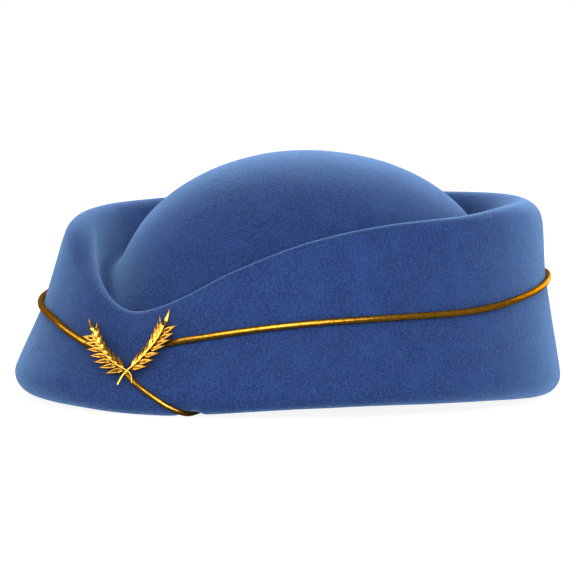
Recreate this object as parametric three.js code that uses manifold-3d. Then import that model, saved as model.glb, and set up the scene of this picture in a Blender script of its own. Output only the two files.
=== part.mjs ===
// A cabin crew hat: one piece of moulded felt with a folded brim, a thin gold cord and a wheat badge.
// The front of the hat faces -Y and the origin is on the floor, under the middle of the lower edge.
import * as THREE from "three";
import { mergeVertices } from "three/addons/utils/BufferGeometryUtils.js";
import Module from "manifold-3d";

const wasm = await Module();
wasm.setup();

// The felt, in millimetres
const rimLength = 202; // front to back, over the widest part of the lower edge
const rimWidth = 172; // side to side
const feltThickness = 2;
const rimRollRadius = 6.5; // outside of the rounded lower edge
const rimTurnIn = 4; // flat felt under the hat, inside the rounded edge
const rimRise = 3.2; // how far the lower edge lifts off the floor at the sides
const brimHeight = 68.5; // floor to the highest point of the fold
const brimLean = 23; // how far the fold lies inside the lower edge where it leans most
const foldRadius = 6.5; // outside of the fold where it is softest
const wallPinch = 1.5; // how far the cord draws the wall in
const wallPinchRadius = 15; // roundness of the wall at the cord
const cordHeight = 38; // floor to the cord where it runs highest
const valleyHeight = 53; // floor to the valley inside the fold where it lies highest
const valleyRadius = 3;
const troughWidth = 15; // from the middle of the fold in to the middle of the valley, where it is widest

// The crown
const crownTop = 82; // floor to the top of the hat
const crownLength = 143;
const crownWidth = 116;
const crownBulge = 45; // height of the crown's round part
const crownSetBack = 5.7; // the crown's middle lies behind the middle of the lower edge
const crownSetAside = 3; // and toward +X

// The cord
const cordDiameter = 2.2;
const clearance = 0.3; // between pieces that touch on the real hat
const floorClearance = 0.2; // under the cord where it passes beneath the lower edge
const cordTuck = 5; // the cord's end reaches past the turned-in felt
const cordSides = 6;
const cordStep = 5;

// The badge
const badgeTurn = 4.8; // degrees from the front toward +X
const badgeHeight = 20.8; // floor to the middle of the badge
const badgeTilt = 15; // degrees, right side higher
const leftEarLength = 28.9; // from the crossing of the stems to the tip of the last grain
const rightEarLength = 25.9;
const earSpread = 36.7; // degrees from upright
const earBow = 3; // how far the ear's curve bows outward
const grainPairs = 7;
const grainLength = 5.8;
const grainWidth = 2.5;
const grainThickness = 1.7;
const grainSplay = 34; // degrees from the line of the ear
const stemWidth = 1.1;
const stemTail = 4; // below the crossing
const stemCross = 10.4; // floor side of the badge's middle to the crossing
const stemUnderTip = 0.3; // share of the last grain that the stem reaches under
const firstGrainAt = 0.06; // share of the ear, from the crossing
const pinAt = 0.22; // share of the right ear, from the crossing
const pinRadius = 0.8;
const clutchRadius = 3;
const clutchThickness = 1.2;

// The felt's sections, from the back around by the -X side, the front and the +X side.
// turn: degrees from the front toward +X. Every other column is a share of a size named above:
// fold of brimHeight, lean of brimLean, round of foldRadius, cord of cordHeight, valley of valleyHeight,
// trough of troughWidth and rise of rimRise.
const sections = [
  { turn: -170, fold: 0.962, lean: 0.44, round: 1, cord: 1.04, valley: 0.9, trough: 0.72, rise: 0 },
  { turn: -140, fold: 0.942, lean: 0.48, round: 0.95, cord: 1.01, valley: 0.88, trough: 0.72, rise: 0.25 },
  { turn: -110, fold: 0.93, lean: 0.57, round: 0.88, cord: 0.97, valley: 0.87, trough: 0.7, rise: 0.55 },
  { turn: -83, fold: 0.912, lean: 0.7, round: 0.85, cord: 0.93, valley: 0.86, trough: 0.68, rise: 0.75 },
  { turn: -63, fold: 0.89, lean: 0.83, round: 0.85, cord: 0.885, valley: 0.83, trough: 0.65, rise: 0.75 },
  { turn: -48, fold: 0.85, lean: 0.9, round: 0.85, cord: 0.835, valley: 0.77, trough: 0.62, rise: 0.65 },
  { turn: -36, fold: 0.78, lean: 0.95, round: 0.8, cord: 0.78, valley: 0.69, trough: 0.6, rise: 0.6 },
  { turn: -25, fold: 0.67, lean: 0.94, round: 0.7, cord: 0.715, valley: 0.61, trough: 0.58, rise: 0.45 },
  { turn: -15, fold: 0.575, lean: 0.86, round: 0.58, cord: 0.617, valley: 0.55, trough: 0.55, rise: 0.35 },
  { turn: -6, fold: 0.485, lean: 0.77, round: 0.45, cord: 0.53, valley: 0.51, trough: 0.52, rise: 0.15 },
  { turn: 2, fold: 0.458, lean: 0.72, round: 0.42, cord: 0.54, valley: 0.49, trough: 0.5, rise: 0 },
  { turn: 12, fold: 0.532, lean: 0.68, round: 0.42, cord: 0.59, valley: 0.53, trough: 0.52, rise: 0 },
  { turn: 24, fold: 0.667, lean: 0.64, round: 0.42, cord: 0.69, valley: 0.66, trough: 0.6, rise: 0.35 },
  { turn: 39, fold: 0.796, lean: 0.6, round: 0.42, cord: 0.775, valley: 0.79, trough: 0.7, rise: 0.8 },
  { turn: 59, fold: 0.878, lean: 0.55, round: 0.43, cord: 0.82, valley: 0.87, trough: 0.8, rise: 1 },
  { turn: 85, fold: 0.915, lean: 0.52, round: 0.5, cord: 0.852, valley: 0.91, trough: 0.85, rise: 0.8 },
  { turn: 112, fold: 0.955, lean: 0.58, round: 0.85, cord: 0.96, valley: 0.92, trough: 0.74, rise: 0.4 },
  { turn: 137, fold: 0.962, lean: 0.62, round: 1.15, cord: 1.06, valley: 0.93, trough: 0.68, rise: 0.1 },
  { turn: 162, fold: 0.974, lean: 0.52, round: 1.12, cord: 1.07, valley: 0.93, trough: 0.68, rise: 0 },
];

// The cord's first stretch, from the lower edge up to where it joins the line around the hat.
// up is a share of badgeHeight.
const cordTail = [
  { turn: 12.5, up: 0.27 },
  { turn: 11.2, up: 0.325 },
  { turn: 9.6, up: 0.395 },
  { turn: 7.4, up: 0.495 },
  { turn: 4, up: 0.66 },
  { turn: 0, up: 0.79 },
  { turn: -5.5, up: 0.94 },
];
const cordJoinsAt = -10; // degrees, where the first stretch meets the line around the hat
const cordEndsAt = 11; // degrees, behind the badge
const cordPassesUnderAt = 17.3; // degrees, beneath the lower edge
const cordOverEdge = [
  { turn: 17.2, steep: 22 },
  { turn: 16.9, steep: 38 },
  { turn: 16.4, steep: 49 },
  { turn: 15.7, steep: 56 },
  { turn: 14.8, steep: 63 },
  { turn: 13.7, steep: 71 },
]; // steep: degrees, 0 under the rounded edge, 90 where it is outermost

// How finely each stretch of a section is drawn
const feltTurns = 58;
const dentSplits = 5;
const crownCrowding = 1.35; // above 1, the crown's points lie closer together toward its foot
const grainSides = 6;
const stemSides = 6;
const stemSteps = 10;
const pinSides = 12;
const segments = { roll: 6, flare: 2, pinch: 2, wall: 3, fold: 6, inside: 2, valley: 5, side: 2, crown: 8 };

const felt = new THREE.MeshStandardMaterial({ color: 0x2c468a, roughness: 0.95, metalness: 0 });
const goldCord = new THREE.MeshStandardMaterial({ color: 0xb07a1e, roughness: 0.35, metalness: 1 });
const goldPlate = new THREE.MeshStandardMaterial({ color: 0xd9ac4a, roughness: 0.25, metalness: 1 });
const steel = new THREE.MeshStandardMaterial({ color: 0x9a9a98, roughness: 0.4, metalness: 1 });

const radians = THREE.MathUtils.degToRad;
const outward = (turn) => new THREE.Vector3(Math.sin(radians(turn)), -Math.cos(radians(turn)), 0);

function smoothStep(x) {
  const k = THREE.MathUtils.clamp(x, 0, 1);
  return k * k * (3 - 2 * k);
}

// One column of the sections as a smooth curve around the hat.
function columnAt(name, turn) {
  const count = sections.length;
  const at = (i) => {
    const lap = Math.floor(i / count);
    const row = sections[i - lap * count];
    return { turn: row.turn + 360 * lap, value: row[name] };
  };
  const wrapped = turn - 360 * Math.floor((turn - sections[0].turn) / 360);
  let i = 0;
  while (at(i + 1).turn <= wrapped) i += 1;
  const slope = (k) => (at(k + 1).value - at(k - 1).value) / (at(k + 1).turn - at(k - 1).turn);
  const a = at(i);
  const b = at(i + 1);
  const span = b.turn - a.turn;
  const x = (wrapped - a.turn) / span;
  const bend = x * (1 - x);
  return (
    a.value + (b.value - a.value) * x * x * (3 - 2 * x) +
    bend * span * ((1 - x) * slope(i) - x * slope(i + 1))
  );
}

function rimRadius(turn) {
  const across = Math.sin(radians(turn)) / (rimWidth / 2);
  const along = Math.cos(radians(turn)) / (rimLength / 2);
  return 1 / Math.hypot(across, along);
}

// The crown's height and outward normal, at a distance from the middle of the hat.
function crownAt(turn, distance) {
  const across = Math.sin(radians(turn)) / (crownWidth / 2);
  const along = -Math.cos(radians(turn)) / (crownLength / 2);
  const x = distance * across - crownSetAside / (crownWidth / 2);
  const y = distance * along - crownSetBack / (crownLength / 2);
  const upright = Math.sqrt(Math.max(1 - x * x - y * y, 0));
  const point = new THREE.Vector2(distance, crownTop - crownBulge * (1 - upright));
  const normal = new THREE.Vector2(crownBulge * (x * across + y * along), upright).normalize();
  return { point, normal };
}

// Where the crown's straight side, coming up from the valley, meets its round top.
function crownFoot(turn, valley) {
  let near = 0;
  let far = valley.centre.x + valley.radius;
  for (let i = 0; i < 40; i += 1) {
    const middle = (near + far) / 2;
    const { point, normal } = crownAt(turn, middle);
    const room = valley.centre.clone().sub(point).dot(normal);
    if (room < -valley.radius && point.y > valley.centre.y) near = middle;
    else far = middle;
  }
  return near;
}

// The felt is drawn over rollers, as a belt: radius is positive where the felt is round outward.
// A stretch of belt between two rollers is straight, and this is the way it faces.
function facing(a, b) {
  const reach = b.centre.clone().sub(a.centre);
  const turnBack = Math.acos(THREE.MathUtils.clamp((a.radius - b.radius) / reach.length(), -1, 1));
  return reach.angle() - turnBack;
}

function onRoller(roller, angle) {
  const way = new THREE.Vector2(Math.cos(angle), Math.sin(angle));
  return roller.centre.clone().addScaledVector(way, roller.radius);
}

// The cord draws in the straight wall between the lower edge and the fold.
function pinchRoller(roll, fold, height) {
  const angle = facing(roll, fold);
  const wall = onRoller(roll, angle);
  const normal = new THREE.Vector2(Math.cos(angle), Math.sin(angle));
  const lean = -normal.y / normal.x;
  const onWall = new THREE.Vector2(wall.x + (height - wall.y) * lean, height);
  return { radius: -wallPinchRadius, centre: onWall.addScaledVector(normal, wallPinchRadius - wallPinch) };
}

// The outside of the felt in one section, as points (distance from the middle, height).
function sectionOutline(turn) {
  const share = (name) => columnAt(name, turn);
  const rim = rimRadius(turn);
  const rise = Math.max(share("rise"), 0) * rimRise;
  const roll = { radius: rimRollRadius, centre: new THREE.Vector2(rim - rimRollRadius, rimRollRadius + rise) };
  const foldRound = Math.max(share("round") * foldRadius, feltThickness + clearance);
  const foldAt = new THREE.Vector2(rim - share("lean") * brimLean, share("fold") * brimHeight - foldRound);
  const fold = { radius: foldRound, centre: foldAt };
  const trough = Math.max(share("trough") * troughWidth, foldRound + valleyRadius + clearance);
  const valleyAt = new THREE.Vector2(foldAt.x - trough, share("valley") * valleyHeight + valleyRadius);
  const valley = { radius: -valleyRadius, centre: valleyAt };
  const footAt = crownFoot(turn, valley);
  const foot = crownAt(turn, footAt);
  const rollers = [roll, pinchRoller(roll, fold, share("cord") * cordHeight), fold, valley];
  const faces = [-Math.PI / 2];
  for (let i = 0; i < 3; i += 1) {
    let angle = facing(rollers[i], rollers[i + 1]);
    while (angle > Math.PI * 1.5) angle -= Math.PI * 2;
    while (angle < -Math.PI / 2) angle += Math.PI * 2;
    faces.push(angle);
  }
  faces.push(foot.normal.angle());
  const points = [];
  const arc = (roller, from, to, count) => {
    for (let i = 0; i <= count; i += 1) points.push(onRoller(roller, from + ((to - from) * i) / count));
  };
  const straight = (to, count) => {
    const from = points[points.length - 1].clone();
    for (let i = 1; i < count; i += 1) points.push(from.clone().lerp(to, i / count));
  };
  points.push(new THREE.Vector2(rim - rimRollRadius - rimTurnIn, rise));
  const arcs = [segments.roll, segments.pinch, segments.fold, segments.valley];
  const lines = [segments.flare, segments.wall, segments.inside];
  rollers.forEach((roller, i) => {
    if (i > 0) straight(onRoller(roller, faces[i]), lines[i - 1]);
    arc(roller, faces[i], faces[i + 1], arcs[i]);
  });
  straight(foot.point, segments.side);
  for (let i = 0; i <= segments.crown; i += 1) {
    const distance = footAt * (1 - (i / segments.crown) ** crownCrowding);
    points.push(crownAt(turn, distance).point);
  }
  return points;
}

// The lower edge is pressed up where the cord passes beneath it, a little more on the side it comes from.
const dentDepth = cordDiameter + clearance + floorClearance;
const dentInner = 0.75 * cordDiameter;
const dentOuter = 1.7 * cordDiameter;
const dentSlant = 1.3; // how much wider the dent is on the side that the cord comes from
const dentHeight = 2.5 * rimRollRadius; // the felt higher than this stays as it is

function dentAt(turn) {
  const past = radians(turn - cordPassesUnderAt) * rimRadius(turn);
  const away = past < 0 ? -past / dentSlant : past;
  return dentDepth * (1 - smoothStep((away - dentInner) / (dentOuter - dentInner)));
}

// A point on the outside of the felt: index counts along the section.
function feltPoint(turn, outline, index) {
  const { x: distance, y: height } = outline[index];
  const lift = dentAt(turn) * (1 - smoothStep(height / dentHeight));
  return outward(turn).multiplyScalar(distance).setZ(height + lift);
}

const nearby = 0.4; // degrees, for the slope of the felt around the hat

// The outside of the felt in one section, with the way each point faces.
function feltSection(turn) {
  const outlines = [turn - nearby, turn, turn + nearby].map(sectionOutline);
  const turns = [turn - nearby, turn, turn + nearby];
  const last = outlines[1].length - 1;
  return outlines[1].map((_, i) => {
    const point = feltPoint(turn, outlines[1], i);
    if (i === last) return { point, normal: new THREE.Vector3(0, 0, 1) };
    if (i <= 1) return { point, normal: new THREE.Vector3(0, 0, -1) };
    const around = feltPoint(turns[2], outlines[2], i).sub(feltPoint(turns[0], outlines[0], i));
    const along = feltPoint(turn, outlines[1], i + 1).sub(feltPoint(turn, outlines[1], i - 1));
    return { point, normal: around.cross(along).normalize() };
  });
}

// The turns at which the felt has a section, closer together around the dent.
function sectionTurns() {
  const turns = [];
  const step = 360 / feltTurns;
  for (let i = 0; i < feltTurns; i += 1) {
    const from = -180 + i * step;
    const dented = Math.max(dentAt(from), dentAt(from + step / 2), dentAt(from + step)) > 0;
    const splits = dented ? dentSplits : 1;
    for (let k = 0; k < splits; k += 1) turns.push(from + (step * k) / splits);
  }
  return turns;
}

function meshGeometry(points, faces) {
  const geometry = new THREE.BufferGeometry();
  geometry.setAttribute("position", new THREE.Float32BufferAttribute(points.flatMap((p) => [p.x, p.y, p.z]), 3));
  geometry.setIndex(faces.flat());
  return geometry;
}

// The felt as one closed body: the outside up to the top of the crown, and the inside back down.
function feltGeometry() {
  const columns = sectionTurns().map((turn) => {
    const outside = feltSection(turn);
    const top = outside.length - 1;
    const inside = outside
      .filter((_, i) => i < top && (i % 2 === 0 || i === 1))
      .map(({ point, normal }) => point.clone().addScaledVector(normal, -feltThickness));
    return { outside: outside.slice(0, top).map((o) => o.point), inside: inside.reverse(), top: outside[top] };
  });
  const rows = columns[0].outside.length + columns[0].inside.length;
  const outsideRows = columns[0].outside.length;
  const points = columns.flatMap((column) => [...column.outside, ...column.inside]);
  const topOutside = points.push(columns[0].top.point) - 1;
  const topInside = points.push(columns[0].top.point.clone().setZ(columns[0].top.point.z - feltThickness)) - 1;
  const faces = [];
  columns.forEach((_, i) => {
    const here = i * rows;
    const next = ((i + 1) % columns.length) * rows;
    for (let k = 0; k < rows; k += 1) {
      const up = (k + 1) % rows;
      if (k === outsideRows - 1) {
        faces.push([here + k, next + k, topOutside]);
        faces.push([here + up, topInside, next + up]);
      } else {
        faces.push([here + k, next + k, next + up]);
        faces.push([here + k, next + up, here + up]);
      }
    }
  });
  return meshGeometry(points, faces);
}

// The point of the cuff's outside at a turn and a height, with the way it faces.
function wallAt(turn, height) {
  const at = (t, h) => {
    const outline = sectionOutline(t);
    let i = 1;
    let a = feltPoint(t, outline, i);
    let b = feltPoint(t, outline, i + 1);
    while (b.z < h && i < outline.length - 3) {
      i += 1;
      a = b;
      b = feltPoint(t, outline, i + 1);
    }
    return a.lerp(b, THREE.MathUtils.clamp((h - a.z) / (b.z - a.z), 0, 1));
  };
  const point = at(turn, height);
  const around = at(turn + nearby, height).sub(at(turn - nearby, height));
  const up = at(turn, height + nearby).sub(at(turn, height - nearby));
  return { point, normal: around.cross(up).normalize() };
}

// The same for the rounded lower edge, as it is away from the dent.
function edgeAt(turn, steep) {
  const rise = Math.max(columnAt("rise", turn), 0) * rimRise;
  const normal = outward(turn).multiplyScalar(Math.sin(radians(steep))).setZ(-Math.cos(radians(steep)));
  const middle = outward(turn).multiplyScalar(rimRadius(turn) - rimRollRadius).setZ(rimRollRadius + rise);
  return { point: middle.addScaledVector(normal, rimRollRadius), normal };
}

const cordCentre = cordDiameter / 2 + clearance;

// The cord's middle line: under the lower edge, up past the badge and around to the badge again.
function cordLine() {
  const points = [];
  const underneath = outward(cordPassesUnderAt);
  const rim = rimRadius(cordPassesUnderAt);
  const under = floorClearance + cordDiameter / 2;
  const flatStarts = rim - rimRollRadius;
  const flatEnds = flatStarts - rimTurnIn;
  for (const distance of [flatEnds - cordTuck, flatEnds, flatStarts]) {
    points.push(underneath.clone().multiplyScalar(distance).setZ(under));
  }
  for (const { turn, steep } of cordOverEdge) {
    const { point, normal } = edgeAt(turn, steep);
    point.addScaledVector(normal, cordCentre + clearance);
    points.push(point.setZ(Math.max(point.z, under)));
  }
  for (const { turn, up } of cordTail) {
    const { point, normal } = wallAt(turn, up * badgeHeight);
    points.push(point.addScaledVector(normal, cordCentre));
  }
  const ringSteps = 44;
  for (let i = 0; i <= ringSteps; i += 1) {
    const turn = cordJoinsAt - ((360 + cordJoinsAt - cordEndsAt) * i) / ringSteps;
    const { point, normal } = wallAt(turn, columnAt("cord", turn) * cordHeight);
    points.push(point.addScaledVector(normal, cordCentre));
  }
  return new THREE.CatmullRomCurve3(points, false, "centripetal");
}

// A closed round bar along a curve.
function roundBar(curve, radius, sides, steps) {
  const circle = new THREE.Shape();
  for (let i = 0; i < sides; i += 1) {
    const angle = (2 * Math.PI * i) / sides;
    const corner = [radius * Math.cos(angle), radius * Math.sin(angle)];
    if (i === 0) circle.moveTo(...corner);
    else circle.lineTo(...corner);
  }
  circle.closePath();
  return new THREE.ExtrudeGeometry(circle, { steps, bevelEnabled: false, extrudePath: curve });
}

function cordGeometry() {
  const line = cordLine();
  return roundBar(line, cordDiameter / 2, cordSides, Math.round(line.getLength() / cordStep));
}

// A place on the badge: across and up in its own plane, bent to the wall and held off it by the cord.
const badgeLift = cordDiameter + 2 * clearance;

function badgeAt(across, up, rise) {
  const tilt = radians(badgeTilt);
  const sideways = across * Math.cos(tilt) - up * Math.sin(tilt);
  const upward = across * Math.sin(tilt) + up * Math.cos(tilt);
  const middle = wallAt(badgeTurn, badgeHeight);
  const reach = Math.hypot(middle.point.x, middle.point.y);
  const steep = Math.hypot(middle.normal.x, middle.normal.y);
  const turn = badgeTurn + THREE.MathUtils.radToDeg(sideways / reach);
  const { point, normal } = wallAt(turn, badgeHeight + upward * steep);
  return { point: point.addScaledVector(normal, badgeLift + rise), normal };
}

function toManifold(geometry) {
  const plain = geometry.clone();
  plain.deleteAttribute("normal");
  plain.deleteAttribute("uv");
  const merged = mergeVertices(plain, 1e-4);
  return new wasm.Manifold(
    new wasm.Mesh({
      numProp: 3,
      vertProperties: merged.attributes.position.array,
      triVerts: new Uint32Array(merged.index.array),
    }),
  );
}

function fromManifold(solid) {
  const mesh = solid.getMesh();
  const geometry = new THREE.BufferGeometry();
  geometry.setAttribute("position", new THREE.BufferAttribute(mesh.vertProperties, 3));
  geometry.setIndex(new THREE.BufferAttribute(mesh.triVerts, 1));
  return geometry;
}

// One grain, standing on its root and pointing along +Y, flattened along Z.
function grainGeometry(length) {
  const half = grainWidth / 2;
  const profile = [
    [0, 0],
    [0.9 * half, 0.25 * length],
    [0.85 * half, 0.62 * length],
    [0, length],
  ].map(([x, y]) => new THREE.Vector2(x, y));
  return new THREE.LatheGeometry(profile, grainSides).scale(1, 1, grainThickness / grainWidth);
}

// A grain laid on the badge, from its root toward its tip.
function laidGrain(root, tip) {
  const from = badgeAt(root.x, root.y, grainThickness / 2);
  const to = badgeAt(tip.x, tip.y, grainThickness / 2);
  const along = to.point.clone().sub(from.point);
  const length = along.length();
  along.normalize();
  const side = along.clone().cross(from.normal).normalize();
  const off = side.clone().cross(along);
  const place = new THREE.Matrix4().makeBasis(side, along, off).setPosition(from.point);
  return grainGeometry(length).applyMatrix4(place);
}

function earLengthOf(side) {
  return side < 0 ? leftEarLength : rightEarLength;
}

// The middle line of an ear in the badge's plane, from the crossing, for side -1 or +1.
function earPoint(side, share) {
  const spread = radians(earSpread);
  const along = share * earLengthOf(side);
  const bow = 4 * earBow * share * (1 - share);
  const x = along * Math.sin(spread) + bow * Math.cos(spread);
  const y = along * Math.cos(spread) - bow * Math.sin(spread);
  return new THREE.Vector2(side * x, y - stemCross);
}

// One ear: pairs of grains along the middle line, a last grain at the tip, and the stem.
function earPieces(side) {
  const pieces = [];
  const tipShare = 1 - grainLength / earLengthOf(side);
  const stemShare = tipShare + (stemUnderTip * grainLength) / earLengthOf(side);
  const lay = (share, splay) => {
    const middle = earPoint(side, share);
    const way = earPoint(side, share + 0.02).sub(middle).normalize();
    way.rotateAround(new THREE.Vector2(), radians(splay));
    const root = middle.clone().addScaledVector(way, -stemWidth / 2);
    pieces.push(laidGrain(root, middle.clone().addScaledVector(way, grainLength)));
  };
  for (let i = 0; i < grainPairs; i += 1) {
    const share = firstGrainAt + ((tipShare - firstGrainAt) * i) / grainPairs;
    lay(share, grainSplay);
    lay(share, -grainSplay);
  }
  lay(tipShare, 0);
  const stem = [];
  const base = earPoint(side, 0);
  const start = earPoint(side, 0.08).sub(base).normalize();
  for (const below of [stemTail, stemTail / 2]) {
    const end = base.clone().addScaledVector(start, -below);
    stem.push(badgeAt(end.x, end.y, stemWidth / 2).point);
  }
  for (let i = 0; i <= 5; i += 1) {
    const { x, y } = earPoint(side, (stemShare * i) / 5);
    stem.push(badgeAt(x, y, stemWidth / 2).point);
  }
  pieces.push(roundBar(new THREE.CatmullRomCurve3(stem), stemWidth / 2, stemSides, stemSteps));
  return pieces;
}

function badgeGeometry() {
  const pieces = [...earPieces(-1), ...earPieces(1)].map(toManifold);
  return fromManifold(wasm.Manifold.union(pieces));
}

// The hidden pin: a straight post from the back of the badge through the felt, with a disc inside.
function turnedPiece(profile) {
  const points = profile.map(([x, y]) => new THREE.Vector2(x, y));
  return new THREE.LatheGeometry(points, pinSides);
}

function pinPlace() {
  const under = earPoint(1, pinAt);
  const { point, normal } = badgeAt(under.x, under.y, -badgeLift);
  const turnTo = new THREE.Quaternion().setFromUnitVectors(new THREE.Vector3(0, 1, 0), normal);
  return new THREE.Matrix4().compose(point, turnTo, new THREE.Vector3(1, 1, 1));
}

function pinGeometry() {
  const head = badgeLift - clearance;
  const clutchTop = -feltThickness - 2 * clearance;
  const profile = [
    [0, clutchTop - clutchThickness],
    [clutchRadius, clutchTop - clutchThickness],
    [clutchRadius, clutchTop],
    [pinRadius, clutchTop],
    [pinRadius, head],
    [0, head],
  ];
  return turnedPiece(profile).applyMatrix4(pinPlace());
}

function pinHole() {
  const reach = 2 * feltThickness;
  const radius = pinRadius + clearance;
  const profile = [
    [0, -reach],
    [radius, -reach],
    [radius, reach],
    [0, reach],
  ];
  return turnedPiece(profile).applyMatrix4(pinPlace());
}

function feltWithHole() {
  return fromManifold(toManifold(feltGeometry()).subtract(toManifold(pinHole())));
}

function piece(name, geometry, material) {
  const mesh = new THREE.Mesh(geometry, material);
  mesh.name = name;
  return mesh;
}

const hat = new THREE.Group();
hat.add(piece("felt_body", feltWithHole(), felt));
hat.add(piece("trim_cord", cordGeometry(), goldCord));
hat.add(piece("wheat_badge", badgeGeometry(), goldPlate));
hat.add(piece("badge_post", pinGeometry(), steel));

export default hat;
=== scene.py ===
from math import cos, degrees, pi, radians, sin

import bmesh
import bpy
from mathutils import Matrix, Vector
from mathutils.bvhtree import BVHTree


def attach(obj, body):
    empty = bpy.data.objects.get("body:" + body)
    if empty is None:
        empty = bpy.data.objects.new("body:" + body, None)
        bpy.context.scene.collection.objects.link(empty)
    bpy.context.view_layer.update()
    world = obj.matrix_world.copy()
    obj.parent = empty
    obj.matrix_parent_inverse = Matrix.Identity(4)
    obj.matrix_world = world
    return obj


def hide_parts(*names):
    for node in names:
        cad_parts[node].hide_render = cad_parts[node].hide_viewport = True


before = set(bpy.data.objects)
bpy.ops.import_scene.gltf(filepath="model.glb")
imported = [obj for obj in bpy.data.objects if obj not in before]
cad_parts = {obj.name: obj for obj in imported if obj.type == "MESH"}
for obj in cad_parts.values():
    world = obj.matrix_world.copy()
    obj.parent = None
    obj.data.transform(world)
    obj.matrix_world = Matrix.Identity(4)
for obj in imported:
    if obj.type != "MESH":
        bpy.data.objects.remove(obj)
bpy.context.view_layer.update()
mm = 0.001
mergeGap = 0.005 * mm       # points of a CAD mesh closer than this are one
onMiddle = 0.01 * mm        # points of a grain closer to its middle line than this are on it


def outward(turn):
    # turn is in degrees from the front of the hat toward +X
    return Vector((sin(radians(turn)), -cos(radians(turn)), 0))


def selectOnly(thing):
    if bpy.context.object and bpy.context.object.mode != "OBJECT":
        bpy.ops.object.mode_set(mode="OBJECT")
    bpy.ops.object.select_all(action="DESELECT")
    thing.select_set(True)
    bpy.context.view_layer.objects.active = thing


def applyModifier(thing, kind, name, **settings):
    selectOnly(thing)
    modifier = thing.modifiers.new(name, kind)
    for key, value in settings.items():
        setattr(modifier, key, value)
    bpy.ops.object.modifier_apply(modifier=name)


def shadeSmooth(thing, angle=180):
    selectOnly(thing)
    bpy.ops.object.shade_smooth_by_angle(angle=radians(angle))


def surfaceOf(thing):
    # for finding places on a piece
    mesh = thing.data
    return BVHTree.FromPolygons([v.co for v in mesh.vertices], [p.vertices[:] for p in mesh.polygons])


def selectVertices(piece, wanted):
    # leaves the piece in edit mode with the wanted points selected
    selectOnly(piece)
    bpy.ops.object.mode_set(mode="EDIT")
    bpy.ops.mesh.select_mode(type="VERT")
    bpy.ops.mesh.select_all(action="DESELECT")
    bpy.ops.object.mode_set(mode="OBJECT")
    for vertex in piece.data.vertices:
        vertex.select = wanted(vertex.co)
    bpy.ops.object.mode_set(mode="EDIT")


def copyOfNode(node, name):
    piece = bpy.data.objects.new(name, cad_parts[node].data.copy())
    bpy.context.scene.collection.objects.link(piece)
    selectOnly(piece)
    bpy.ops.object.mode_set(mode="EDIT")
    bpy.ops.mesh.select_all(action="SELECT")
    bpy.ops.mesh.remove_doubles(threshold=mergeGap)
    bpy.ops.object.mode_set(mode="OBJECT")
    return piece


def fromHex(code):
    # an sRGB colour as the linear one that a shader takes
    channels = [int(code[i:i + 2], 16) / 255 for i in (1, 3, 5)]
    return [c / 12.92 if c <= 0.04045 else ((c + 0.055) / 1.055) ** 2.4 for c in channels] + [1]


def addNode(tree, kind, inputs=None, **settings):
    node = tree.nodes.new("ShaderNode" + kind)
    for name, value in settings.items():
        setattr(node, name, value)
    for socket, value in (inputs or {}).items():
        if isinstance(value, bpy.types.NodeSocket):
            tree.links.new(value, node.inputs[socket])
        else:
            node.inputs[socket].default_value = value
    return node


def newMaterial(name):
    material = bpy.data.materials.new(name)
    material.use_nodes = True
    tree = material.node_tree
    tree.nodes.clear()
    return material, tree


def finishMaterial(tree, shader):
    addNode(tree, "OutputMaterial", {"Surface": shader.outputs["BSDF"]})


def coat(piece, material):
    piece.data.materials.clear()
    piece.data.materials.append(material)


wool = {
    "shade": "#15274d", "body": "#253e74", "lint": "#2f5091", "halo": "#92c5ff",
    "fibre": 0.6 * mm,      # clumps of fibres, drawn coarser than the 0.02 mm hairs so that they show
    "fleck": 0.35 * mm,     # single paler fibres, coarser than real for the same reason
    "cloud": 9 * mm,        # uneven dye and nap
    "streak": 3.5 * mm,     # length of the marks left by brushing
    "streakShare": 0.45,    # how much they show beside the clumps
    "brushedAcross": 38, "brushedAround": 37,
    "nap": 0.3 * mm,        # how far the hairs stand off
}


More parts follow.
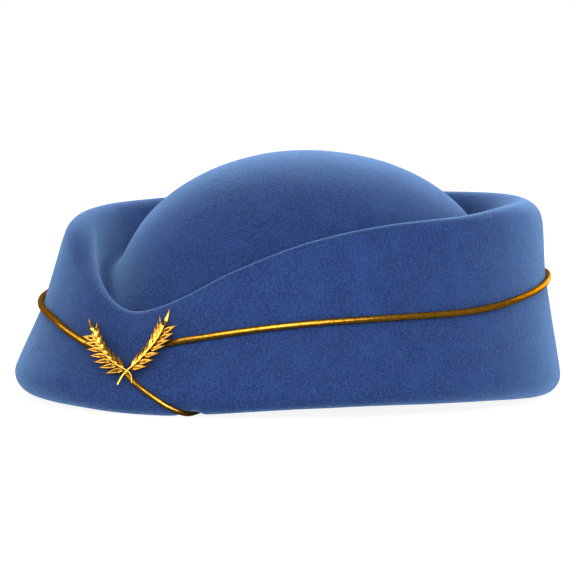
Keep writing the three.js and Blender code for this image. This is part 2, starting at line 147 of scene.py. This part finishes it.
def woolFelt():
    # Wool felt, blocked, stiffened and brushed: matt, with short hairs that catch light at the edges.
    material, tree = newMaterial("brushedWoolFelt")
    place = addNode(tree, "TexCoord").outputs["Object"]
    clumps = addNode(tree, "TexNoise", {"Vector": place, "Scale": 1 / wool["fibre"], "Detail": 3.0,
                                        "Roughness": 0.65})
    flecks = addNode(tree, "TexNoise", {"Vector": place, "Scale": 1 / wool["fleck"], "Detail": 2.0})
    clouds = addNode(tree, "TexNoise", {"Vector": place, "Scale": 1 / wool["cloud"], "Detail": 3.0})
    lean = (0.0, radians(wool["brushedAcross"]), radians(wool["brushedAround"]))
    brushed = addNode(tree, "Mapping", {"Vector": place, "Rotation": lean,
                                        "Scale": (1, 1, wool["fibre"] / wool["streak"])})
    streaks = addNode(tree, "TexNoise", {"Vector": brushed.outputs["Vector"], "Scale": 1 / wool["fibre"],
                                         "Detail": 2.0})
    grain = addNode(tree, "Math", {0: streaks.outputs["Fac"], 1: wool["streakShare"],
                                   2: clumps.outputs["Fac"]}, operation="MULTIPLY_ADD")
    grain = addNode(tree, "Math", {0: grain.outputs[0], 1: flecks.outputs["Fac"]}, operation="ADD")
    level = addNode(tree, "MapRange", {"Value": grain.outputs[0], "From Min": 1.02, "From Max": 1.42})
    dyed = addNode(tree, "Mix", {"Factor": level.outputs["Result"], 6: fromHex(wool["shade"]),
                                 7: fromHex(wool["body"])}, data_type="RGBA")
    patchy = addNode(tree, "MapRange", {"Value": clouds.outputs["Fac"], "From Min": 0.45, "From Max": 0.8,
                                        "To Max": 0.25})
    pale = addNode(tree, "MapRange", {"Value": flecks.outputs["Fac"], "From Min": 0.56, "From Max": 0.72,
                                      "To Max": 0.7})
    paler = addNode(tree, "Math", {0: pale.outputs["Result"], 1: patchy.outputs["Result"]},
                    operation="MAXIMUM")
    colour = addNode(tree, "Mix", {"Factor": paler.outputs[0], 6: dyed.outputs[2],
                                   7: fromHex(wool["lint"])}, data_type="RGBA")
    bump = addNode(tree, "Bump", {"Height": grain.outputs[0], "Strength": 0.65, "Distance": wool["nap"]})
    shader = addNode(tree, "BsdfPrincipled", {
        "Base Color": colour.outputs[2], "Roughness": 0.95, "IOR": 1.45, "Specular IOR Level": 0.15,
        "Sheen Weight": 0.8, "Sheen Roughness": 0.3, "Sheen Tint": fromHex(wool["halo"]),
        "Normal": bump.outputs["Normal"]})
    finishMaterial(tree, shader)
    return material


thread = {
    "gold": "#d39a35", "crease": "#7c4a10", "edge": "#f2b964",
    "pitch": 0.7 * mm,      # one turn of the foil, drawn wider than the real 0.3 mm so that it shows
    "wear": 1.1 * mm,       # rubbed and dull places
    "ridge": 0.05 * mm,
}


def woundGold(length):
    # Gilt foil thread wound closely around a core: nearly a smooth bar, with fine ridges across it.
    material, tree = newMaterial("woundGiltThread")
    along = addNode(tree, "UVMap", uv_map="UVMap")
    turns = length / thread["pitch"]
    # a Wave texture has 20 / (2 pi) bands to a unit
    turned = addNode(tree, "Mapping", {"Vector": along.outputs["UV"], "Scale": (1, 2 * pi / 20 * turns, 1)})
    ridges = addNode(tree, "TexWave", {"Vector": turned.outputs["Vector"], "Scale": 1.0, "Distortion": 0.6,
                                       "Detail": 1.0}, bands_direction="Y")
    place = addNode(tree, "TexCoord").outputs["Object"]
    worn = addNode(tree, "TexNoise", {"Vector": place, "Scale": 1 / thread["wear"], "Detail": 2.0})
    tone = addNode(tree, "MapRange", {"Value": worn.outputs["Fac"], "From Min": 0.1, "From Max": 0.6})
    colour = addNode(tree, "Mix", {"Factor": tone.outputs["Result"], 6: fromHex(thread["crease"]),
                                   7: fromHex(thread["gold"])}, data_type="RGBA")
    height = addNode(tree, "Math", {0: ridges.outputs["Fac"], 1: worn.outputs["Fac"]}, operation="ADD")
    bump = addNode(tree, "Bump", {"Height": height.outputs[0], "Strength": 0.2,
                                  "Distance": thread["ridge"]})
    shader = addNode(tree, "BsdfPrincipled", {"Base Color": colour.outputs[2], "Metallic": 1.0,
                                              "Specular Tint": fromHex(thread["edge"]),
                                              "Roughness": 0.24, "Normal": bump.outputs["Normal"]})
    finishMaterial(tree, shader)
    return material


gilt = {
    # crease is the darker gold of the painted shade between and below the grain faces
    "face": "#ecb548", "crease": "#4e2b06",
    "handling": 1.5 * mm,   # smears and small dents of handling
    "dent": 0.08 * mm,
}


def giltBrass():
    # Brass, cast, polished and gilded: bright faces, with painted shade, a darker gold painted low on each
    # grain in the creases between the grains.
    material, tree = newMaterial("polishedGiltBrass")
    place = addNode(tree, "TexCoord").outputs["Object"]
    handling = addNode(tree, "TexNoise", {"Vector": place, "Scale": 1 / gilt["handling"], "Detail": 4.0})
    # painted shade: how low a point lies on its grain mixes in the darker gold
    paintedShade = addNode(tree, "Attribute", attribute_name="crease")
    colour = addNode(tree, "Mix", {"Factor": paintedShade.outputs["Fac"], 6: fromHex(gilt["face"]),
                                   7: fromHex(gilt["crease"])}, data_type="RGBA")
    rough = addNode(tree, "MapRange", {"Value": handling.outputs["Fac"], "From Min": 0.3, "From Max": 0.7,
                                       "To Min": 0.12, "To Max": 0.26})
    bump = addNode(tree, "Bump", {"Height": handling.outputs["Fac"], "Strength": 0.25,
                                  "Distance": gilt["dent"]})
    shader = addNode(tree, "BsdfPrincipled", {"Base Color": colour.outputs[2], "Metallic": 1.0,
                                              "Roughness": rough.outputs["Result"],
                                              "Normal": bump.outputs["Normal"]})
    finishMaterial(tree, shader)
    return material


steel = {"bare": "#a9a8a4", "mark": 0.4 * mm}


def plainSteel():
    # Steel wire and a stamped clutch: dull grey, with fine marks from stamping.
    material, tree = newMaterial("stampedSteel")
    place = addNode(tree, "TexCoord").outputs["Object"]
    marks = addNode(tree, "TexNoise", {"Vector": place, "Scale": 1 / steel["mark"], "Detail": 3.0})
    rough = addNode(tree, "MapRange", {"Value": marks.outputs["Fac"], "To Min": 0.3, "To Max": 0.5})
    shader = addNode(tree, "BsdfPrincipled", {"Base Color": fromHex(steel["bare"]), "Metallic": 1.0,
                                              "Roughness": rough.outputs["Result"]})
    finishMaterial(tree, shader)
    return material


# The felt: the frame's own body, rounded, with the slight waves of felt that was blocked by hand

felt = {
    "subdivisions": 2, "waves": 0.5 * mm, "waveLength": 38 * mm,
    "pinReach": 0.42 * mm,  # points of the pin's hole are closer than this to the pin
    # the lower edge sits down on the cord where the cord passes under it, at this turn from the front
    "cordUnder": 17.3, "dentWidth": 4.2 * mm, "dentHeight": 8 * mm, "dentCloses": 2.5 * mm,
    "flatPair": 40, "squarePair": 60,   # two triangles that meet flatter than this are made one quad
}


def closePinHole(piece):
    # the badge's pin goes through the felt without leaving a hole that shows
    pin = surfaceOf(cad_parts["badge_post"])
    selectVertices(piece, lambda co: pin.find_nearest(co)[3] < felt["pinReach"])
    bpy.ops.mesh.select_mode(type="FACE")
    bpy.ops.mesh.delete(type="FACE")
    bpy.ops.mesh.select_mode(type="EDGE")
    bpy.ops.mesh.select_all(action="DESELECT")
    bpy.ops.mesh.select_non_manifold()
    bpy.ops.mesh.fill_holes(sides=0)
    bpy.ops.object.mode_set(mode="OBJECT")


def fade(share):
    # 1 at share 0, and smoothly down to 0 at share 1
    share = min(1, max(0, share))
    return 1 - share * share * (3 - 2 * share)


def settleOnCord(piece):
    # the felt comes down most at the cord itself, and less to the sides and higher up
    under = outward(felt["cordUnder"]).xy
    for vertex in piece.data.vertices:
        point = vertex.co
        forward = point.xy.dot(under)
        past = (point.xy - under * forward).length
        if forward > 0:
            near = fade(past / felt["dentWidth"]) * fade(point.z / felt["dentHeight"])
            point.z -= felt["dentCloses"] * near


def makeFelt():
    piece = copyOfNode("felt_body", "felt_shell")
    closePinHole(piece)
    settleOnCord(piece)
    selectOnly(piece)
    bpy.ops.object.mode_set(mode="EDIT")
    bpy.ops.mesh.select_all(action="SELECT")
    bpy.ops.mesh.tris_convert_to_quads(face_threshold=radians(felt["flatPair"]),
                                       shape_threshold=radians(felt["squarePair"]))
    bpy.ops.object.mode_set(mode="OBJECT")
    levels = felt["subdivisions"]
    applyModifier(piece, "SUBSURF", "rounded", levels=levels, render_levels=levels)
    waves = bpy.data.textures.new("handBlocked", "CLOUDS")
    waves.noise_scale = felt["waveLength"]
    applyModifier(piece, "DISPLACE", "waves", texture=waves, texture_coords="LOCAL",
                  strength=felt["waves"], mid_level=0.5)
    shadeSmooth(piece)
    coat(piece, woolFelt())
    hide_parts("felt_body")
    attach(piece, "root")
    return piece


# The cord: a smooth round length along the middle of the frame's own cord, pressed a little into the felt

cord = {
    "radius": 1.1 * mm, "roundness": 4,
    "pressedIn": 0.1 * mm, "furthestMove": 0.45 * mm,   # how it is brought to the felt
    "tailRadius": 0.85 * mm,
    "tailBelow": 17 * mm,   # the tail starts to thin at this height, and is thinnest at half of it
    "endCorner": 12,        # an edge within this of a right angle bounds an end of the frame's cord
}


def middleLine(node):
    # the frame's cord is a closed bar of rings, walked here from one end to the other
    shape = bmesh.new()
    shape.from_mesh(node.data)
    bmesh.ops.remove_doubles(shape, verts=shape.verts, dist=mergeGap)
    shape.normal_update()
    squareEdges = [e for e in shape.edges
                   if abs(degrees(e.calc_face_angle()) - 90) < cord["endCorner"]]
    ring = {squareEdges[0].verts[0]}
    while True:
        wider = ring | {v for e in squareEdges for v in e.verts if set(e.verts) & ring}
        if wider == ring:
            break
        ring = wider
    seen = set(ring)
    middles = []
    while ring:
        middles.append(sum((v.co for v in ring), Vector()) / len(ring))
        ring = {e.other_vert(v) for v in ring for e in v.link_edges} - seen
        seen |= ring
    shape.free()
    return middles


def barAlong(name, points, radius, roundness, widths=None):
    # a round bar on a smooth curve through the points, each with its width as a share of the radius
    bpy.ops.object.select_all(action="DESELECT")
    bpy.ops.curve.primitive_nurbs_path_add()
    bar = bpy.context.object
    bar.name = name
    path = bar.data.splines[0]
    path.points.add(len(points) - len(path.points))
    for point, place, width in zip(path.points, points, widths or [1] * len(points)):
        point.co = (*place, 1)
        point.radius = width
    path.order_u = 4        # a cubic curve
    path.use_endpoint_u = True
    bar.data.resolution_u = 4
    bar.data.bevel_depth = radius
    bar.data.bevel_resolution = roundness
    bar.data.use_fill_caps = True
    bar.location = (0, 0, 0)
    selectOnly(bar)
    bpy.ops.object.convert(target="MESH")
    bar = bpy.context.object
    bar.data.name = name
    return bar


def makeCord(shell):
    wall = surfaceOf(shell)
    points = []
    for middle in middleLine(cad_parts["trim_cord"]):
        toFelt = wall.find_nearest(middle)[0] - middle
        move = min(toFelt.length - cord["radius"] + cord["pressedIn"], cord["furthestMove"])
        points.append(middle + toFelt.normalized() * move)
    length = sum((b - a).length for a, b in zip(points, points[1:]))
    print("scene: cord", round(length, 4), "m, points", len(points))
    tail = cord["tailRadius"] / cord["radius"]
    shares = [min(1, max(0, point.z / cord["tailBelow"] - 0.5) * 2) for point in points]
    widths = [tail + (1 - tail) * share for share in shares]
    piece = barAlong("sewn_cord", points, cord["radius"], cord["roundness"], widths)
    shadeSmooth(piece, 60)
    coat(piece, woundGold(length))
    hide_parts("trim_cord")
    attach(piece, "root")


# The badge: two ears of wheat in a V, each with grains in pairs, a raised stem and a last grain at the tip

badge = {
    # where its middle is: turn from the front, height, tilt of the V, and how far it stands off the felt
    "turn": 4.5, "height": 20.8 * mm, "tilt": 15, "lift": 2.8 * mm,
    "cross": 10.2 * mm,     # from the middle down to the crossing of the stems
    "castFrom": 0.2,        # metres from the hat's axis, outside the hat
    # -1 is the left ear and 1 the right one; spread is from the middle of the V, and bow bends the ear
    "length": {-1: 29.7 * mm, 1: 25.5 * mm}, "spread": {-1: 36.8, 1: 37.4},
    "bow": {-1: 3 * mm, 1: 2.1 * mm},
    # how far the grains stand away from the stem and turn their faces to the left
    "innerSplay": {-1: 30, 1: 29}, "innerRoll": {-1: 8, 1: 0},
    "outerSplay": {-1: 42, 1: 44}, "outerRoll": {-1: 0, 1: 6},
    "pairs": 7, "firstGrain": 0.06,
    "grainLength": 6.5 * mm, "grainThickness": 1.3 * mm, "grainSides": 12,
    "innerWidth": {-1: 2.2 * mm, 1: 1.8 * mm}, "outerWidth": 2.7 * mm,
    "keel": 0.4 * mm, "hollow": -0.5 * mm, "keelFrom": 0.15, "keelTo": 0.9, "keelAbove": 0.55,
    "ridge": 0.7,           # sharpness of the line along the grain
    "paintedShadeHeight": 1.15,   # the painted shade fades out, and the gold gets lighter, up to this share of half the thickness
    "rootRise": 0.3 * mm, "tipRise": 1.2 * mm,
    "stemRadius": 0.34 * mm, "stemRise": 1.2 * mm, "stemTail": 4.2 * mm, "stemSplay": {-1: 32, 1: 14},
    "leafShare": -0.02, "leafSplay": 30, "leafSize": 0.45,
}
# along the grain, and half its width there, both as shares
grainOutline = [(0.0, 0.28), (0.1, 0.64), (0.24, 0.96), (0.36, 1.0), (0.52, 0.84), (0.7, 0.54),
                (0.86, 0.26), (1.0, 0.04)]
# along the ear, and how high the stem stands there as a share of its rise
stemLine = [(0, 0.75), (0.15, 1), (0.3, 1), (0.45, 1), (0.6, 1), (0.75, 1)]


def grainShape(width, keel):
    # points along +Y, its face toward +Z; keel lifts the middle line of the face, or sinks it
    length = badge["grainLength"]
    top = badge["grainThickness"] / 2
    bpy.ops.object.select_all(action="DESELECT")
    bpy.ops.mesh.primitive_circle_add(vertices=badge["grainSides"], radius=width / 2, fill_type="NGON",
                                      rotation=(radians(90), 0, 0))
    grain = bpy.context.object
    bpy.ops.object.transform_apply(location=True, rotation=True, scale=True)
    bpy.ops.object.mode_set(mode="EDIT")
    bpy.ops.mesh.select_all(action="SELECT")
    first = grainOutline[0][1]
    bpy.ops.transform.resize(value=(first, 1, first), center_override=(0, 0, 0))
    for (y, share), (nextY, nextShare) in zip(grainOutline, grainOutline[1:]):
        bpy.ops.mesh.extrude_region_move(TRANSFORM_OT_translate={"value": (0, (nextY - y) * length, 0)})
        ratio = nextShare / share
        bpy.ops.transform.resize(value=(ratio, 1, ratio), center_override=(0, nextY * length, 0))
    bpy.ops.mesh.select_all(action="SELECT")
    bpy.ops.transform.resize(value=(1, 1, badge["grainThickness"] / width),
                             center_override=(0, 0, 0))
    selectVertices(grain, lambda co: abs(co.x) < onMiddle and co.z > badge["keelAbove"] * top
                   and badge["keelFrom"] * length < co.y < badge["keelTo"] * length)
    bpy.ops.transform.translate(value=(0, 0, keel))
    bpy.ops.object.mode_set(mode="OBJECT")
    sharpness = grain.data.attributes.new("crease_edge", "FLOAT", "EDGE")
    for edge in grain.data.edges:
        a, b = (grain.data.vertices[i].co for i in edge.vertices)
        ridge = max(abs(a.x), abs(b.x)) < onMiddle and min(a.z, b.z) > 0
        sharpness.data[edge.index].value = badge["ridge"] if ridge else 0.0
    selectOnly(grain)
    bpy.ops.object.mode_set(mode="EDIT")
    bpy.ops.mesh.select_all(action="SELECT")
    bpy.ops.mesh.normals_make_consistent(inside=False)
    bpy.ops.object.mode_set(mode="OBJECT")
    applyModifier(grain, "SUBSURF", "plump", levels=1, render_levels=1)
    # painted shade: the gold is painted darker low on each grain, in the creases between the grains and in
    # the hollow of a grain, and lighter toward its top
    crease = grain.data.attributes.new("crease", "FLOAT", "POINT")
    for vertex in grain.data.vertices:
        height = vertex.co.z / top / badge["paintedShadeHeight"]
        crease.data[vertex.index].value = min(1, max(0, 1 - height))
    return grain


class Wall:
    # places on the badge: across and up in its own plane, bent to the wall and held off it by the cord
    def __init__(self, shell):
        self.tree = surfaceOf(shell)
        self.middle, self.facing = self.hit(badge["turn"], badge["height"])

    def hit(self, turn, height):
        start = outward(turn) * badge["castFrom"] + Vector((0, 0, height))
        return self.tree.ray_cast(start, -outward(turn))[:2]

    def at(self, across, up, rise):
        tilt = radians(badge["tilt"])
        sideways = across * cos(tilt) - up * sin(tilt)
        upward = across * sin(tilt) + up * cos(tilt)
        turn = badge["turn"] + degrees(sideways / self.middle.xy.length)
        steep = self.facing.xy.length
        place, normal = self.hit(turn, badge["height"] + upward * steep)
        return place + normal * (badge["lift"] + rise), normal


def earPoint(side, share):
    # the middle line of an ear, from the crossing of the stems, for side -1 or +1
    spread = radians(badge["spread"][side])
    along = share * badge["length"][side]
    bow = 4 * badge["bow"][side] * share * (1 - share)
    x = along * sin(spread) + bow * cos(spread)
    y = along * cos(spread) - bow * sin(spread)
    return Vector((side * x, y - badge["cross"]))


def turned(way, angle):
    return Matrix.Rotation(radians(angle), 2) @ way


def layGrain(shape, wall, root, tip, roll=0, size=1.0):
    # root and tip are places on the badge, and roll turns the grain's face to the left, in degrees
    start, normal = wall.at(*root, badge["rootRise"])
    end = wall.at(*tip, badge["tipRise"])[0]
    along = (end - start).normalized()
    side = along.cross(normal).normalized()
    off = side.cross(along)
    roll = radians(roll)
    side, off = side * cos(roll) + off * sin(roll), off * cos(roll) - side * sin(roll)
    turn = Matrix((side, along, off)).transposed()
    grain = bpy.data.objects.new("grain", shape.data.copy())
    bpy.context.scene.collection.objects.link(grain)
    grain.data.transform(Matrix.Translation(start) @ turn.to_4x4() @ Matrix.Scale(size, 4))
    return grain


def makeEar(side, wall, keeled, hollowed):
    pieces = []
    length = badge["grainLength"]
    tipShare = 1 - length / badge["length"][side]
    firstShare = badge["firstGrain"]

    def lay(shape, share, splay, roll):
        middle = earPoint(side, share)
        way = turned((earPoint(side, share + 0.02) - middle).normalized(), splay)
        root = middle - way * badge["stemRadius"]
        pieces.append(layGrain(shape, wall, root, root + way * length, roll))

    for i in range(badge["pairs"]):
        share = firstShare + (tipShare - firstShare) * i / badge["pairs"]
        lay(keeled, share, side * badge["innerSplay"][side], badge["innerRoll"][side])
        lay(hollowed, share, -side * badge["outerSplay"][side], badge["outerRoll"][side])
    lay(keeled, tipShare, 0, badge["innerRoll"][side])
    base = earPoint(side, 0)
    start = (earPoint(side, 0.08) - base).normalized()
    tail = turned(start, side * badge["stemSplay"][side])
    # past the crossing the stem bends away and lies lower
    stem = [(base - tail * badge["stemTail"], 0.5), (base - start * badge["stemTail"] / 2, 0.5)]
    stem += [(earPoint(side, share), rise) for share, rise in stemLine]
    points = [wall.at(*spot, badge["stemRise"] * rise)[0] for spot, rise in stem]
    pieces.append(barAlong("stem", points, badge["stemRadius"], 2))
    return pieces


def makeBadge(shell):
    wall = Wall(shell)
    keeled = {side: grainShape(badge["innerWidth"][side], badge["keel"]) for side in (-1, 1)}
    hollowed = grainShape(badge["outerWidth"], badge["hollow"])
    pieces = makeEar(-1, wall, keeled[-1], hollowed) + makeEar(1, wall, keeled[1], hollowed)
    # the small leaf that points down by the right stem; its size comes from leafSize alone
    leaf = earPoint(1, badge["leafShare"])
    down = turned(Vector((0, -1)), badge["leafSplay"])
    pieces.append(layGrain(hollowed, wall, leaf, leaf + down * mm, size=badge["leafSize"]))
    for shape in (keeled[-1], keeled[1], hollowed):
        bpy.data.objects.remove(shape)
    selectOnly(pieces[0])
    for piece in pieces:
        piece.select_set(True)
    bpy.ops.object.join()
    whole = bpy.context.object
    whole.name = "wheat_ears"
    while whole.data.uv_layers:
        whole.data.uv_layers.remove(whole.data.uv_layers[0])
    shadeSmooth(whole, 50)
    coat(whole, giltBrass())
    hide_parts("wheat_badge")
    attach(whole, "root")
    return whole


# The floor, the light and the camera

studio = {
    "floor": "#6c6c6b", "floorSize": 30.0, "floorGlow": 0.9, "floorGrain": 0.6 * mm,
    "horizon": 2.1, "zenith": 0.1,     # light from the walls and the ceiling on the matt felt
    "darkRoom": 0.28,                   # what the gilt mirrors between the softboxes
    "aim": 0.035,                       # height in metres that the softboxes face
}
# name, turn from the front, degrees up, distance, width and height in metres, watts
feltLights = [
    ("front", 40, 20, 1.5, 1.2, 1.2, 13),
    ("behind", 217, 38, 1.6, 1.3, 1.3, 21.6),
    ("backRight", 165, 15, 1.5, 1.0, 1.0, 15),
]
giltLights = [
    ("giltFront", 38, 26, 1.5, 1.5, 1.5, 34),
    ("giltLeft", -48, 34, 1.4, 1.1, 1.0, 12),
    ("giltBack", 190, 10, 1.5, 0.5, 0.6, 4),
]


def addFloor():
    # Opal acrylic lit from below: evenly near white and matt. The gilt mirrors it as if it were unlit.
    bpy.ops.object.select_all(action="DESELECT")
    bpy.ops.mesh.primitive_grid_add(x_subdivisions=4, y_subdivisions=4, size=studio["floorSize"])
    floor = bpy.context.object
    floor.name = "studio_floor"
    material, tree = newMaterial("backlitWhiteAcrylic")
    place = addNode(tree, "TexCoord").outputs["Object"]
    grain = addNode(tree, "TexNoise", {"Vector": place, "Scale": 1 / studio["floorGrain"], "Detail": 3.0})
    bump = addNode(tree, "Bump", {"Height": grain.outputs["Fac"], "Strength": 0.05, "Distance": 0.05 * mm})
    shader = addNode(tree, "BsdfPrincipled", {"Base Color": fromHex(studio["floor"]), "Roughness": 0.9,
                                              "Specular IOR Level": 0.1, "Emission Color": (1, 1, 1, 1),
                                              "Emission Strength": studio["floorGlow"],
                                              "Normal": bump.outputs["Normal"]})
    dark = addNode(tree, "BsdfDiffuse", {"Color": fromHex(studio["floor"])})
    mirrored = addNode(tree, "LightPath").outputs["Is Glossy Ray"]
    seen = addNode(tree, "MixShader", {0: mirrored, 1: shader.outputs["BSDF"], 2: dark.outputs["BSDF"]})
    addNode(tree, "OutputMaterial", {"Surface": seen.outputs[0]})
    coat(floor, material)


def addWorld():
    world = bpy.data.worlds.new("whiteStudio")
    world.use_nodes = True
    bpy.context.scene.world = world
    tree = world.node_tree
    tree.nodes.clear()
    path = addNode(tree, "LightPath")
    backdrop = addNode(tree, "Background", {"Color": (1, 1, 1, 1), "Strength": 1.0})
    way = addNode(tree, "SeparateXYZ", {0: addNode(tree, "TexCoord").outputs["Generated"]})
    daylight = addNode(tree, "MapRange", {"Value": way.outputs["Z"], "To Min": studio["horizon"],
                                          "To Max": studio["zenith"]})
    soft = addNode(tree, "Background", {"Color": (1, 1, 1, 1), "Strength": daylight.outputs["Result"]})
    dark = addNode(tree, "Background", {"Color": (1, 1, 1, 1), "Strength": studio["darkRoom"]})
    lit = addNode(tree, "MixShader", {0: path.outputs["Is Glossy Ray"], 1: soft.outputs[0],
                                      2: dark.outputs[0]})
    seen = addNode(tree, "MixShader", {0: path.outputs["Is Camera Ray"], 1: lit.outputs[0],
                                       2: backdrop.outputs[0]})
    addNode(tree, "OutputWorld", {"Surface": seen.outputs[0]})


def addSoftboxes(lights, seenBy):
    # felt and gilt have softboxes of their own, so that each can be set without the other
    middle = Vector((0, 0, studio["aim"]))
    for name, turn, up, distance, width, height, watts in lights:
        away = outward(turn) * cos(radians(up)) + Vector((0, 0, sin(radians(up))))
        bpy.ops.object.light_add(type="AREA", location=middle + away * distance)
        light = bpy.context.object
        light.name = name
        light.rotation_euler = away.to_track_quat("Z", "Y").to_euler()
        light.data.shape = "RECTANGLE"
        light.data.size = width
        light.data.size_y = height
        light.data.energy = watts
        light.visible_camera = False
        light.visible_diffuse = seenBy == "felt"
        light.visible_glossy = seenBy == "gilt"


# degrees, metres, and the lens and sensor in millimetres
view = {"azimuth": 37, "elevation": 3.5, "roll": 0.6, "distance": 1.4, "aside": -0.0012, "up": 0.0356,
        "lens": 260.4, "sensor": 36}


def addCamera():
    turn, lift, roll = (radians(view[key]) for key in ("azimuth", "elevation", "roll"))
    back = Vector((sin(turn) * cos(lift), -cos(turn) * cos(lift), sin(lift)))
    right = Vector((cos(turn), sin(turn), 0))
    up = back.cross(right)
    place = back * view["distance"] + right * view["aside"] + up * view["up"]
    right, up = right * cos(roll) + up * sin(roll), up * cos(roll) - right * sin(roll)
    bpy.ops.object.camera_add(location=place)
    camera = bpy.context.object
    camera.rotation_euler = Matrix((right, up, back)).transposed().to_euler()
    camera.data.sensor_width = view["sensor"]
    camera.data.lens = view["lens"]
    bpy.context.scene.camera = camera


bpy.context.scene.view_settings.view_transform = "Standard"
addCamera()
addWorld()
addSoftboxes(feltLights, "felt")
addSoftboxes(giltLights, "gilt")
addFloor()
print("scene: camera, light and floor")
shell = makeFelt()
print("scene: felt", len(shell.data.polygons), "faces")
makeCord(shell)
ears = makeBadge(shell)
print("scene: badge", len(ears.data.polygons), "faces")
coat(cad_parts["badge_post"], plainSteel())
print("scene: pin")
